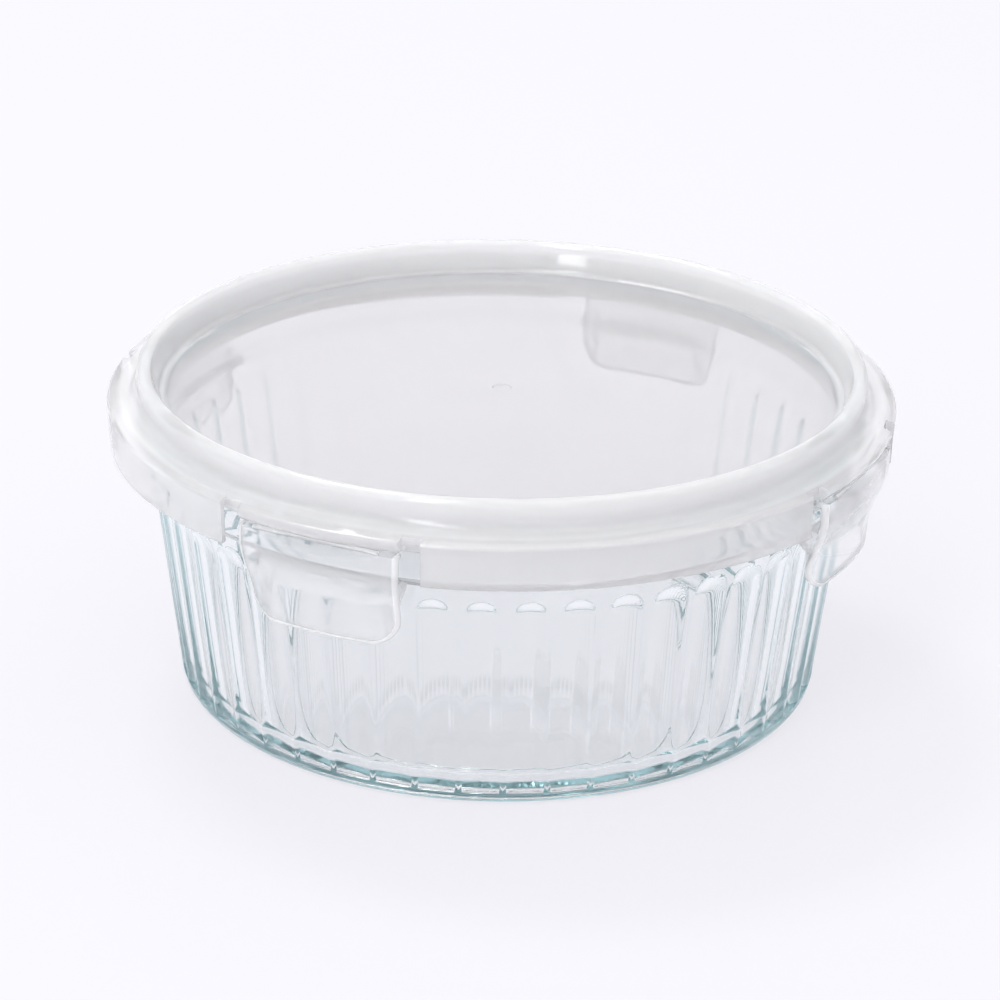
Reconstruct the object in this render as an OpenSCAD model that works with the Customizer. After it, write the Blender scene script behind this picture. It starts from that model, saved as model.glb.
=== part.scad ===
// Round glass food storage container with a four-flap locking lid.
// Origin: centre of the foot's resting plane. +Z up, -Y is the front flap. Millimetres.

/* [Bowl] */
// Height of the glass bowl from the table to the top of its rim
bowl_h = 66; // [50:1:90]
// Outer radius of the wall where it rises from the foot
base_r = 74; // [60:1:90]
// Draft of the wall, leaning outward towards the rim
wall_draft = 7.1; // [3:0.1:10]
// Thickness of the glass wall
wall_t = 3.8; // [3:0.1:5]
// Thickness of the glass floor
floor_t = 3.6; // [3:0.1:8]
// Radius inside, between floor and wall
inner_corner_r = 6; // [4:0.5:12]
// Radius outside, between foot and wall
foot_corner_r = 3; // [2:0.1:5]
// Width of the ring that the bowl stands on
foot_w = 9; // [5:0.5:14]
// Height of the hollow inside the foot ring
foot_hollow = 0.8; // [0.4:0.1:1.5]

/* [Bowl rim] */
// How far the rim bead stands proud of the wall at the top
bead_proud = 1.3; // [1:0.1:2]
// Height of the rim bead
bead_h = 8.8; // [7:0.1:11]
// Slope of the bead's underside, where the lock ribs catch
bead_slope = 43; // [30:1:55]
// Rounding of the rim's outer top edge
rim_out_round = 1.9; // [1:0.1:2.2]
// Rounding of the rim's inner top edge
rim_in_round = 1.5; // [0.8:0.1:2]

/* [Flutes] */
// Number of upright flutes round the wall
flute_n = 48; // [24:4:72]
// Depth of each flute
flute_depth = 0.9; // [0.4:0.1:1.3]
// Width of the plain ridge left between two flutes at half height
flute_land = 1.6; // [1:0.1:3]
// Plain band between the bead's underside and the round tops of the flutes
flute_band = 3; // [2:0.5:12]
// Height of the plain foot left under the lower ends of the flutes
flute_foot = 3.5; // [3:0.1:8]
// Turn of the first flute from the middle of the front flap
flute_phase = 1; // [0:0.5:7]

/* [Lid] */
// Distance that the lid's skirt stands out past the glass bead
lid_overhang = 6.85; // [6.5:0.05:8]
// Thickness of the lid's flat panel
panel_t = 1.6; // [1.2:0.1:2.4]
// Depth of the tray inside the lid's ridge
tray_depth = 7.1; // [5:0.1:9]
// Width of the ridge that stands round the tray
ridge_w = 3.3; // [2.8:0.1:4]
// Distance that the tray's side leans in from top to bottom
tray_lean = 1.7; // [0.8:0.1:2.4]
// Radius between the tray's floor and side
tray_corner_r = 1.5; // [0.8:0.1:2.5]
// Height of the shoulder's outer edge above the glass rim
shoulder_rise = 2.6; // [2.2:0.1:3.4]
// Fall of the shoulder from the ridge to the outer edge
shoulder_fall = 1.1; // [0.5:0.1:1.6]
// Radius of the sweep from the ridge into the shoulder
shoulder_sweep_r = 2.3; // [1.5:0.1:2.6]
// Height of the skirt below the shoulder's edge
skirt_h = 10.1; // [8:0.1:12]
// Thickness of the skirt and the shoulder
skirt_t = 1.6; // [1.2:0.1:2.2]
// Draft of the skirt, as a step inward at its lower edge
skirt_draft = 0.4; // [0:0.1:1]
// Thickness of the wall that guides the lid round the glass bead
guide_t = 1.5; // [1:0.1:2]
// Depth that the guide wall reaches below the top of the glass rim
guide_reach = 1.7; // [1:0.1:5]
// Thickness of the ring that plugs into the bowl's mouth
plug_t = 1.2; // [1:0.1:2.2]
// Depth that the plug ring reaches below the top of the glass rim
plug_reach = 2.1; // [1:0.1:5]
// Radius of the gate mark in the middle of the panel
gate_r = 2.2; // [1:0.1:4]
// Depth of the gate mark
gate_depth = 0.3; // [0.1:0.1:0.6]

/* [Seal] */
// Width of the silicone seal
seal_w = 2.7; // [2:0.1:3]
// Height of the seal's body
seal_h = 3.5; // [2.5:0.1:4]
// Width of the stem that grips inside the ridge
stem_w = 1.1; // [0.8:0.1:1.4]
// Height of the stem above the seal's body
stem_h = 2.8; // [1.5:0.1:3.2]

/* [Flaps] */
// Width of each locking flap
flap_w = 38.2; // [28:0.2:46]
// Height of the flap's lower edge above the table
flap_low_z = 42.3; // [36:0.1:48]
// Thickness of the flap's plate
flap_t = 1.7; // [1.2:0.1:2.2]
// Distance that the flap leans in from its top to its waist
flap_lean = 4; // [2:0.1:4.5]
// Height of the waist above the flap's lower edge
waist_h = 3.2; // [2:0.1:6]
// Outward flare of the thumb lip below the waist
lip_flare = 0.5; // [0:0.1:1.2]
// Distance that each side of the flap tapers in towards the bottom
flap_taper = 1.2; // [0:0.1:2]
// Radius of the flap's lower corners
flap_corner_r = 6.6; // [3:0.1:8]
// Gap on each side, between the flap and the skirt
flap_side_gap = 4.8; // [2:0.1:7]
// Distance that the shoulder is cut back in those gaps
gap_cut_back = 2; // [1:0.1:3]
// Distance that the lock rib's tip reaches in past the glass bead
lock_catch = 1.1; // [0.6:0.1:1.6]
// Height of the lock rib at its tip
lock_tip_h = 0.8; // [0.5:0.1:1.5]
// Plain flap left beyond each end of the lock rib
lock_end = 1.6; // [0.5:0.1:4]
// Distance of the two stiffening webs from the flap's middle, at the lock rib
web_offset = 13.8; // [8:0.1:16]
// Outward lean of the webs, so that they run to the flap's lower corners
web_splay = 8; // [0:0.5:12]
// Depth of the webs behind the flap's plate at its waist
web_depth = 0.7; // [0.5:0.1:1.2]
// Thickness of the two stiffening webs
web_t = 1.8; // [1:0.1:2.4]

/* [Living hinges] */
// Distance of the hinge line inside the skirt's outer face
hinge_inset = 1.7; // [1.5:0.1:2]
// Height of the hinge line below the shoulder's outer edge
hinge_drop = 3.3; // [2.8:0.1:3.6]
// Radius of the rolled bead that each living hinge bends about
hinge_bead_r = 0.45; // [0.35:0.05:0.5]
// Thickness of the thin hinge strip
hinge_strip_t = 0.4; // [0.3:0.05:0.5]
// Length of the hinge strip
hinge_len = 30; // [20:0.5:31]

/* [Clearances] */
// Clearance between the glass bead and the lid's guide wall
guide_clear = 0.4; // [0.2:0.05:0.8]
// Clearance between the bowl's mouth and the lid's plug ring
plug_clear = 0.5; // [0.3:0.05:1.2]
// Clearance between the glass rim and the relaxed seal
seal_clear = 0.3; // [0.2:0.05:0.5]
// Clearance round the seal in its groove
seal_fit = 0.15; // [0.05:0.05:0.3]
// Clearance between the glass rim and the lid's panel
panel_clear = 1.5; // [1:0.1:2]
// Clearance between the bead's underside and the lock ribs
lock_clear = 0.4; // [0.2:0.05:0.8]
// Running clearance round each hinge bead
hinge_clear = 0.05; // [0.02:0.01:0.1]

/* [Hidden] */
$fn = 96;

// Directions of the four flaps round the lid
front = -90;
right = 0;
back = 90;
left = 180;
flap_sides = [front, right, back, left];

// Bowl wall
function wall_out(z) = base_r + (z - foot_corner_r) * tan(wall_draft);
function wall_in(z) = wall_out(z) - wall_t / cos(wall_draft);
bead_r = wall_out(bowl_h) + bead_proud;
bead_low_z = bowl_h - bead_h;
bead_fillet_r = 0.5;
under_h = (bead_r - wall_out(bead_low_z)) / (1 / tan(bead_slope) - tan(wall_draft));
under_z = bead_low_z - under_h;
fillet_z = under_z - bead_fillet_r * tan((90 - bead_slope - wall_draft) / 2) * cos(wall_draft);
foot_out_r = base_r - foot_corner_r / cos(wall_draft);
foot_in_r = foot_out_r - foot_w;

// Flutes
flute_mid_z = bowl_h / 2;
flute_chord = 2 * PI * wall_out(flute_mid_z) / flute_n - flute_land;
flute_r = (flute_chord * flute_chord / 4 + flute_depth * flute_depth) / (2 * flute_depth);
flute_top_z = under_z - flute_band - flute_chord / 2;
flute_len = (flute_top_z - flute_foot + (flute_r - flute_depth) * sin(wall_draft)) / cos(wall_draft);

// Lid heights
panel_low_z = bowl_h + panel_clear;
panel_z = panel_low_z + panel_t;
crest_z = panel_z + tray_depth;
edge_z = bowl_h + shoulder_rise;
shoulder_z = edge_z + shoulder_fall;
skirt_low_z = edge_z - skirt_h;
groove_z = bowl_h + seal_clear + seal_h + seal_fit;

// Lid radii
ridge_r = bead_r - ridge_w / 2;
ridge_out_r = ridge_r + ridge_w / 2;
ridge_in_r = ridge_r - ridge_w / 2;
guide_in_r = bead_r + guide_clear;
guide_out_r = guide_in_r + guide_t;
lid_r = bead_r + lid_overhang;
plug_out_r = wall_in(bowl_h - plug_reach) - plug_clear;
groove_half = seal_w / 2 + seal_fit;
stem_half = stem_w / 2 + seal_fit;
edge_round = skirt_t / 2;

// Hinge line, as distance from the axis and height
hinge_x = lid_r - hinge_inset;
hinge_z = edge_z - hinge_drop;
pocket_r = hinge_bead_r + hinge_clear;
strip_h = hinge_bead_r + 0.05;
ledge_z = hinge_z + 0.6 * pocket_r;
ledge_lip = 1.6;
flap_lip = 2.6;
ledge_in_r = hinge_x - 2.2;
notch_half = flap_w / 2 + flap_side_gap;
big = 2 * lid_r;

// Flap
flap_top_z = hinge_z - strip_h;
knee_z = hinge_z - 4;
waist_z = flap_low_z + waist_h;
rib_top_z = bead_low_z - 0.2;
rib_tip_r = bead_r - lock_catch;
function lean_share(z) =
    z > knee_z ? 0 : z < waist_z ? 1 : (1 - cos(180 * (knee_z - z) / (knee_z - waist_z))) / 2;
function lip_share(z) = z > waist_z ? 0 : pow((waist_z - z) / waist_h, 2);
function flap_out(z) = lid_r - flap_lean * lean_share(z) + lip_flare * lip_share(z);

// Points of an arc about c from angle a0 to a1
function arc(c, r, a0, a1, n = 6) =
    [for (i = [0:n]) c + r * [cos(a0 + (a1 - a0) * i / n), sin(a0 + (a1 - a0) * i / n)]];

// Section of the bowl: foot, drafted wall, beaded rim, rounded inside corner
module bowl_section() {
    under_round = 0.5;
    inner_z = floor_t + inner_corner_r;
    inner_c = [wall_in(inner_z) - inner_corner_r / cos(wall_draft), inner_z];
    polygon(concat(
        [[0, foot_hollow], [foot_in_r - foot_hollow, foot_hollow], [foot_in_r, 0]],
        arc([foot_out_r, foot_corner_r], foot_corner_r, -90, -wall_draft),
        arc([wall_out(fillet_z), fillet_z] + bead_fillet_r * [cos(wall_draft), -sin(wall_draft)],
            bead_fillet_r, 180 - wall_draft, 90 + bead_slope, 3),
        arc([bead_r - under_round, bead_low_z + under_round], under_round, -bead_slope, 0, 3),
        arc([bead_r - rim_out_round, bowl_h - rim_out_round], rim_out_round, 0, 90),
        arc([wall_in(bowl_h) + rim_in_round, bowl_h - rim_in_round], rim_in_round, 90, 180 - wall_draft),
        arc(inner_c, inner_corner_r, -wall_draft, -90, 8),
        [[0, floor_t]]));
}

// One flute: a round groove along the wall's draft, with a round top and a square lower end
module flute_cutter() {
    translate([wall_out(flute_top_z) + flute_r - flute_depth, 0, flute_top_z])
    rotate([0, wall_draft, 0]) {
        sphere(r = flute_r);
        mirror([0, 0, 1]) cylinder(r = flute_r, h = flute_len);
    }
}

// Pressed and tempered glass bowl with flutes all round its wall
module glass_bowl() {
    color([0.72, 0.87, 0.88, 0.45])
    difference() {
        rotate_extrude() bowl_section();
        for (i = [0:flute_n - 1]) rotate([0, 0, front + flute_phase + 360 * i / flute_n]) flute_cutter();
    }
}

// Section of the lid: tray, ridge, shoulder, skirt, guide wall, seal groove, plug ring
module lid_section() {
    tray_c = [ridge_in_r - tray_lean - tray_corner_r, panel_z + tray_corner_r];
    under_shoulder = skirt_t + 0.2;
    polygon(concat(
        [[0, panel_z]],
        arc(tray_c, tray_corner_r, -90, 0),
        arc([ridge_r, crest_z - ridge_w / 2], ridge_w / 2, 180, 0, 10),
        arc([ridge_out_r + shoulder_sweep_r, shoulder_z + shoulder_sweep_r], shoulder_sweep_r, 180, 270),
        arc([lid_r - edge_round, edge_z - edge_round], edge_round, 80, 0, 4),
        [[lid_r - skirt_draft, skirt_low_z],
         [lid_r - skirt_draft - skirt_t, skirt_low_z],
         [lid_r - skirt_t, edge_z - under_shoulder],
         [guide_out_r, shoulder_z - under_shoulder],
         [guide_out_r, bowl_h - guide_reach],
         [guide_in_r, bowl_h - guide_reach],
         [guide_in_r, panel_low_z - 0.4],
         [ridge_r + groove_half, panel_low_z],
         [ridge_r + groove_half, groove_z],
         [ridge_r + stem_half, groove_z],
         [ridge_r + stem_half, groove_z + stem_h + seal_fit],
         [ridge_r - stem_half, groove_z + stem_h + seal_fit],
         [ridge_r - stem_half, groove_z],
         [ridge_r - groove_half, groove_z],
         [ridge_r - groove_half, panel_low_z],
         [plug_out_r, panel_low_z],
         [plug_out_r, bowl_h - plug_reach],
         [plug_out_r - plug_t, bowl_h - plug_reach],
         [plug_out_r - plug_t, panel_low_z],
         [0, panel_low_z]]));
}

// Window cut from the skirt for one flap, with the shoulder cut back at its two sides
module flap_window() {
    difference() {
        translate([0, -notch_half, skirt_low_z - 1])
            cube([big, 2 * notch_half, ledge_z + ledge_lip - skirt_low_z + 1]);
        cylinder(r = ledge_in_r, h = big);
    }
    difference() {
        translate([0, -notch_half, skirt_low_z - 1]) cube([big, 2 * notch_half, skirt_h + 3]);
        cylinder(r = lid_r - gap_cut_back, h = big);
        translate([0, -flap_w / 2, 0]) cube([big, flap_w, big]);
    }
}

// Ledge over one flap, bevelled underneath, with the seat of the living hinge
module hinge_ledge() {
    difference() {
        intersection() {
            translate([0, -flap_w / 2, ledge_z]) cube([big, flap_w, edge_z - skirt_t / 2 - ledge_z]);
            cylinder(r = lid_r, h = big);
        }
        cylinder(r = ledge_in_r, h = big);
        rotate([90, 0, 0]) linear_extrude(height = big, center = true)
            polygon([[hinge_x + 0.8 * pocket_r, ledge_z], [lid_r, hinge_z + ledge_lip],
                     [big, hinge_z + ledge_lip], [big, ledge_z]]);
        translate([hinge_x, 0, hinge_z]) rotate([90, 0, 0]) cylinder(r = pocket_r, h = big, center = true);
    }
}

// One-piece polypropylene lid without its flaps
module lid() {
    color([0.93, 0.94, 0.96, 0.6])
    difference() {
        union() {
            difference() {
                rotate_extrude() lid_section();
                for (a = flap_sides) rotate([0, 0, a]) flap_window();
            }
            for (a = flap_sides) rotate([0, 0, a]) hinge_ledge();
        }
        translate([0, 0, panel_z - gate_depth]) cylinder(r = gate_r, h = big);
    }
}

// Clear silicone seal: a square body with a stem that grips inside the ridge
module seal() {
    color([0.86, 0.93, 0.94, 0.7])
    rotate_extrude() {
        translate([ridge_r - seal_w / 2, bowl_h + seal_clear]) square([seal_w, seal_h]);
        translate([ridge_r - stem_w / 2, bowl_h + seal_clear + seal_h - 1]) square([stem_w, stem_h + 1]);
    }
}

// Upright outline of a flap, seen square on, drawn in by some margin: straight top, tapered
// sides and two round lower corners
module flap_outline(margin) {
    half = flap_w / 2 - margin;
    corner_r = flap_corner_r - margin;
    corner_x = flap_w / 2 - flap_taper - flap_corner_r;
    corner_z = flap_low_z + flap_corner_r;
    far = norm([half - corner_x, knee_z - corner_z]);
    touch_a = atan2(knee_z - corner_z, half - corner_x) - acos(corner_r / far);
    bite = corner_r - 0.02;
    touch_x = corner_x + bite * cos(touch_a);
    touch_z = corner_z + bite * sin(touch_a);
    polygon([[-half, hinge_z], [half, hinge_z], [half, knee_z], [touch_x, touch_z], [corner_x, corner_z],
             [corner_x, corner_z - corner_r], [-corner_x, corner_z - corner_r],
             [-corner_x, corner_z], [-touch_x, touch_z], [-half, knee_z]]);
    for (s = [-1, 1]) translate([s * corner_x, corner_z]) circle(r = corner_r);
}

// Section of the flap's plate: thick top, leaning face, waist and flared thumb lip
module plate_section() {
    steps = 12;
    levels = [for (i = [0:steps]) knee_z + (flap_low_z - knee_z) * i / steps];
    polygon(concat(
        [[lid_r, flap_top_z]],
        [for (z = levels) [flap_out(z), z]],
        [for (i = [steps:-1:0]) [flap_out(levels[i]) - flap_t, levels[i]]],
        [[lid_r - flap_t, flap_top_z - 1], [hinge_x - 1.3, flap_top_z - 0.6], [hinge_x - 1.3, flap_top_z]]));
}

// Section of the lock rib that hooks under the glass bead
module rib_section() {
    tip_z = rib_top_z - (bead_r + 0.6 - rib_tip_r) * tan(bead_slope) + 0.2;
    heel_z = tip_z - lock_tip_h - 2.8;
    plate_in = flap_t / 2;
    polygon([[flap_out(rib_top_z) - plate_in, rib_top_z], [bead_r + 0.6, rib_top_z],
             [rib_tip_r, tip_z], [rib_tip_r, tip_z - lock_tip_h],
             [flap_out(heel_z) - flap_t - 1, heel_z], [flap_out(heel_z) - plate_in, heel_z]]);
}

// Section of one stiffening web between the lock rib and the lower edge. Below its root it
// stays outside the glass bead, so that only the lock rib holds the lid down
module web_section() {
    top_z = rib_top_z - 2;
    low_z = flap_low_z + 0.8;
    plate_in = flap_t / 2;
    root_z = top_z - 3.5;
    polygon([[rib_tip_r + 0.8, top_z], [flap_out(top_z) - plate_in, top_z],
             [flap_out(waist_z) - plate_in, waist_z], [flap_out(low_z) - plate_in, low_z],
             [flap_out(low_z) - flap_t - web_depth / 2, low_z],
             [flap_out(waist_z) - flap_t - web_depth, waist_z], [bead_r + lock_clear, root_z]]);
}

// One stiffening web at the given side, leaning outward and kept inside the flap's outline
module web(side) {
    intersection() {
        rotate([0, 0, side * asin(web_offset / lid_r)])
        translate([0, 0, rib_top_z]) rotate([side * web_splay, 0, 0]) translate([0, 0, -rib_top_z])
        rotate([90, 0, 0]) linear_extrude(height = web_t, center = true) web_section();
        rotate([90, 0, 90]) linear_extrude(height = big) flap_outline(0.4);
    }
}

// One locking flap, hanging on the +X side
module flap() {
    color([0.93, 0.95, 0.96, 0.5]) {
        difference() {
            intersection() {
                rotate([0, 0, -20]) rotate_extrude(angle = 40) plate_section();
                rotate([90, 0, 90]) linear_extrude(height = big) flap_outline(0);
            }
            rotate([90, 0, 0]) linear_extrude(height = big, center = true)
                polygon([[hinge_x + hinge_strip_t / 2, flap_top_z], [hinge_x + hinge_strip_t / 2, big],
                         [big, big], [big, hinge_z - flap_lip], [lid_r, hinge_z - flap_lip]]);
        }
        intersection() {
            rotate([0, 0, -20]) rotate_extrude(angle = 40) rib_section();
            translate([0, -flap_w / 2 + lock_end, 0]) cube([big, flap_w - 2 * lock_end, big]);
        }
        for (s = [-1, 1]) web(s);
    }
}

// Living hinge of one flap: a rolled bead on the hinge line and the thin strip below it
module living_hinge() {
    color([0.96, 0.97, 0.98, 0.6])
    translate([hinge_x, 0, hinge_z]) {
        rotate([90, 0, 0]) cylinder(r = hinge_bead_r, h = hinge_len, center = true);
        translate([-hinge_strip_t / 2, -hinge_len / 2, -strip_h]) cube([hinge_strip_t, hinge_len, strip_h]);
    }
}

module front_flap() { rotate([0, 0, front]) flap(); }
module right_flap() { rotate([0, 0, right]) flap(); }
module back_flap() { rotate([0, 0, back]) flap(); }
module left_flap() { rotate([0, 0, left]) flap(); }
module front_hinge() { rotate([0, 0, front]) living_hinge(); }
module right_hinge() { rotate([0, 0, right]) living_hinge(); }
module back_hinge() { rotate([0, 0, back]) living_hinge(); }
module left_hinge() { rotate([0, 0, left]) living_hinge(); }

glass_bowl();
lid();
seal();
front_flap();
right_flap();
back_flap();
left_flap();
front_hinge();
right_hinge();
back_hinge();
left_hinge();
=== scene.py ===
import math

import bmesh
import bpy
from mathutils import Matrix, Vector


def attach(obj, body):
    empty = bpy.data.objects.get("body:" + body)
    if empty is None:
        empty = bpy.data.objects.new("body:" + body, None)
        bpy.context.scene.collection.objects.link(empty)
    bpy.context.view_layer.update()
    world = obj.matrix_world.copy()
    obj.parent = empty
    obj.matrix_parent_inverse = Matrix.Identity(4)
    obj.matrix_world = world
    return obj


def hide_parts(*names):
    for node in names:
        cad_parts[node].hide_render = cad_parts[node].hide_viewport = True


# Camera, about 0.9 m away and 23 degrees above the table, with a long lens and a slight tilt.
# It looks at a point on the container's axis, a little over half way up.
VIEW_TURN = math.radians(26.0)
VIEW_LIFT = math.radians(23.23)
VIEW_ROLL = math.radians(0.95)
VIEW_FAR = 0.8897
VIEW_POINT = Vector((0.0, 0.0, 0.0410))
camera_data = bpy.data.cameras.new("studio_camera")
camera_data.sensor_width = 36.0
camera_data.lens = 138.24
camera_data.clip_start = 0.05
camera_data.clip_end = 20.0
camera = bpy.data.objects.new("studio_camera", camera_data)
bpy.context.scene.collection.objects.link(camera)
bpy.context.scene.camera = camera
towards_camera = Vector((math.sin(VIEW_TURN) * math.cos(VIEW_LIFT),
                         -math.cos(VIEW_TURN) * math.cos(VIEW_LIFT),
                         math.sin(VIEW_LIFT)))
camera.location = VIEW_POINT + towards_camera * VIEW_FAR
look = (-towards_camera).to_track_quat("-Z", "Y").to_matrix().to_4x4()
camera.rotation_mode = "QUATERNION"
camera.rotation_quaternion = (look @ Matrix.Rotation(VIEW_ROLL, 4, "Z")).to_quaternion()

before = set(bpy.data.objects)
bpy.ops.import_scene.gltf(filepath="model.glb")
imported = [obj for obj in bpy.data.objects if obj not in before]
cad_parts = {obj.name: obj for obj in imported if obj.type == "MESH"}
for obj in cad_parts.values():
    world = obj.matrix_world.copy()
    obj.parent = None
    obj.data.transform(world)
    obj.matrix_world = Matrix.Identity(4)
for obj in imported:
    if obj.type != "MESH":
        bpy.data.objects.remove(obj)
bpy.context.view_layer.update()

# Glass bowl: one piece of clear soda-lime glass, pressed in a mould and then tempered.
# The mould leaves 48 round-topped flutes in the leaning wall, a bead round the rim
# for the flaps to hook under, and a foot ring under the floor. Sizes are in millimetres.
MM = 0.001
BOWL_H = 66.0
BASE_R = 74.0
DRAFT_DEG = 7.1
DRAFT = math.radians(DRAFT_DEG)
WALL = 3.8
FLOOR = 3.6
INNER_CORNER = 6.0
FOOT_CORNER = 3.0
FOOT_W = 9.0
FOOT_HOLLOW = 0.8
FOOT_EDGE = 0.4
BEAD_PROUD = 1.3
BEAD_H = 8.8
BEAD_SLOPE_DEG = 43
BEAD_SLOPE = math.radians(BEAD_SLOPE_DEG)
BEAD_EDGE = 0.5
UNDER_ROUND = 0.5
RIM_OUT = 1.9
RIM_IN = 1.5
FLUTES = 48
FLUTE_DEPTH = 0.9
FLUTE_LAND = 1.6
FLUTE_BAND = 3.0
FLUTE_FOOT = 3.5
FLUTE_STEP = 0.03
FLUTE_TURN = math.radians(-90 + 1)
RIDGE_ROUNDING = 0.36
SAME_POINT = 1e-7
NEAR_AXIS = 1e-6


def wall_out(z):
    """Radius of the wall's outer face at a height."""
    return BASE_R + (z - FOOT_CORNER) * math.tan(DRAFT)


def wall_in(z):
    """Radius of the wall's inner face at a height."""
    return wall_out(z) - WALL / math.cos(DRAFT)


def arc(centre, radius, start, end, steps):
    """Points of an arc in a section, from one angle in degrees to another."""
    angles = [math.radians(start + (end - start) * i / steps) for i in range(steps + 1)]
    return [(centre[0] + radius * math.cos(a), centre[1] + radius * math.sin(a)) for a in angles]


def line(a, b, steps):
    """Points between two section points, without the two ends."""
    return [(a[0] + (b[0] - a[0]) * i / steps, a[1] + (b[1] - a[1]) * i / steps)
            for i in range(1, steps)]


BEAD_R = wall_out(BOWL_H) + BEAD_PROUD
BEAD_LOW = BOWL_H - BEAD_H
slope_run = 1 / math.tan(BEAD_SLOPE) - math.tan(DRAFT)
UNDER_Z = BEAD_LOW - (BEAD_R - wall_out(BEAD_LOW)) / slope_run
foot_out = BASE_R - FOOT_CORNER / math.cos(DRAFT)
foot_in = foot_out - FOOT_W
half_chord = (2 * math.pi * wall_out(BOWL_H / 2) / FLUTES - FLUTE_LAND) / 2
flute_radius = (half_chord ** 2 + FLUTE_DEPTH ** 2) / (2 * FLUTE_DEPTH)
flute_top = UNDER_Z - FLUTE_BAND - half_chord
foot_step = [(wall_out(z), z) for z in (FLUTE_FOOT - FLUTE_STEP, FLUTE_FOOT + FLUTE_STEP)]
top_start = (wall_out(flute_top), flute_top)
top_end = (wall_out(UNDER_Z - FLUTE_BAND + 1), UNDER_Z - FLUTE_BAND + 1)
inner_z = FLOOR + INNER_CORNER
inner_centre = (wall_in(inner_z) - INNER_CORNER / math.cos(DRAFT), inner_z)
fillet_reach = UNDER_ROUND * math.tan((math.pi / 2 - BEAD_SLOPE - DRAFT) / 2)
fillet_z = UNDER_Z - fillet_reach * math.cos(DRAFT)
fillet_centre = (wall_out(fillet_z) + UNDER_ROUND * math.cos(DRAFT),
                 fillet_z - UNDER_ROUND * math.sin(DRAFT))
bowl_section = (
    [(0, FOOT_HOLLOW), (foot_in - 20, FOOT_HOLLOW), (foot_in - 2, FOOT_HOLLOW)]
    + arc((foot_in - FOOT_EDGE - FOOT_HOLLOW, 0), FOOT_HOLLOW, 90, 0, steps=4)[:-1]
    + arc((foot_in + FOOT_EDGE, FOOT_EDGE), FOOT_EDGE, 180, 270, steps=4)
    + line((foot_in + FOOT_EDGE, 0), (foot_out, 0), steps=3)
    + arc((foot_out, FOOT_CORNER), FOOT_CORNER, -90, -DRAFT_DEG, steps=14)
    + foot_step + line(foot_step[1], top_start, steps=16)
    + [top_start] + line(top_start, top_end, steps=12) + [top_end]
    + arc(fillet_centre, UNDER_ROUND, 180 - DRAFT_DEG, 90 + BEAD_SLOPE_DEG, steps=5)
    + arc((BEAD_R - BEAD_EDGE, BEAD_LOW + BEAD_EDGE), BEAD_EDGE, -BEAD_SLOPE_DEG, 0, steps=4)
    + line((BEAD_R, BEAD_LOW + BEAD_EDGE), (BEAD_R, BOWL_H - RIM_OUT), steps=4)
    + arc((BEAD_R - RIM_OUT, BOWL_H - RIM_OUT), RIM_OUT, 0, 90, steps=8)
    + arc((wall_in(BOWL_H) + RIM_IN, BOWL_H - RIM_IN), RIM_IN, 90, 180 - DRAFT_DEG, steps=7)
    + line((wall_in(BOWL_H - RIM_IN), BOWL_H - RIM_IN), (wall_in(inner_z), inner_z), steps=6)
    + arc(inner_centre, INNER_CORNER, -DRAFT_DEG, -90, steps=10)
    + [(inner_centre[0] - 14, FLOOR), (inner_centre[0] - 32, FLOOR), (0, FLOOR)])


def turned_mesh(name, section, angles):
    """A closed mesh from a section that starts and ends on the axis, swept through the angles."""
    inner = section[1:-1]
    count, total = len(inner), len(angles)
    points = [(0, 0, section[0][1] * MM), (0, 0, section[-1][1] * MM)]
    faces = []
    for i, angle in enumerate(angles):
        c, s = math.cos(angle), math.sin(angle)
        points += [(r * c * MM, r * s * MM, z * MM) for r, z in inner]
        a, b = 2 + i * count, 2 + (i + 1) % total * count
        faces.append((0, b, a))
        faces.append((1, a + count - 1, b + count - 1))
        faces += [(a + j, b + j, b + j + 1, a + j + 1) for j in range(count - 1)]
    mesh = bpy.data.meshes.new(name)
    mesh.from_pydata(points, [], faces)
    return mesh


def outward(mesh, crease=35):
    """Turns every face of a closed mesh outwards and smooths it between its hard edges."""
    work = bmesh.new()
    work.from_mesh(mesh)
    bmesh.ops.remove_doubles(work, verts=work.verts, dist=SAME_POINT)
    bmesh.ops.recalc_face_normals(work, faces=work.faces)
    if work.calc_volume(signed=True) < 0:
        bmesh.ops.reverse_faces(work, faces=work.faces)
    work.to_mesh(mesh)
    work.free()
    mesh.polygons.foreach_set("use_smooth", [True] * len(mesh.polygons))
    mesh.set_sharp_from_angle(angle=math.radians(crease))
    mesh.update()


def new_piece(name, mesh, material):
    """An object for a mesh, with its one material."""
    piece = bpy.data.objects.new(name, mesh)
    bpy.context.scene.collection.objects.link(piece)
    mesh.materials.clear()
    mesh.materials.append(material)
    return piece


def add(tree, kind, settings=None, values=None, output=0):
    """Adds a node: its settings first, then the values or wires of its sockets.
    Returns one of its outputs as a wire."""
    node = tree.nodes.new(kind)
    for key, value in (settings or {}).items():
        if key == "stops":
            ramp = node.color_ramp.elements
            while len(ramp) < len(value):
                ramp.new(0.5)
            for element, (place, colour) in zip(ramp, value):
                element.position = place
                element.color = colour
        else:
            setattr(node, key, value)
    for key, value in (values or {}).items():
        if isinstance(value, Wire):
            tree.links.new(value.socket, node.inputs[key])
        else:
            node.inputs[key].default_value = value
    return Wire(tree, node.outputs[output]) if node.outputs else None


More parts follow.
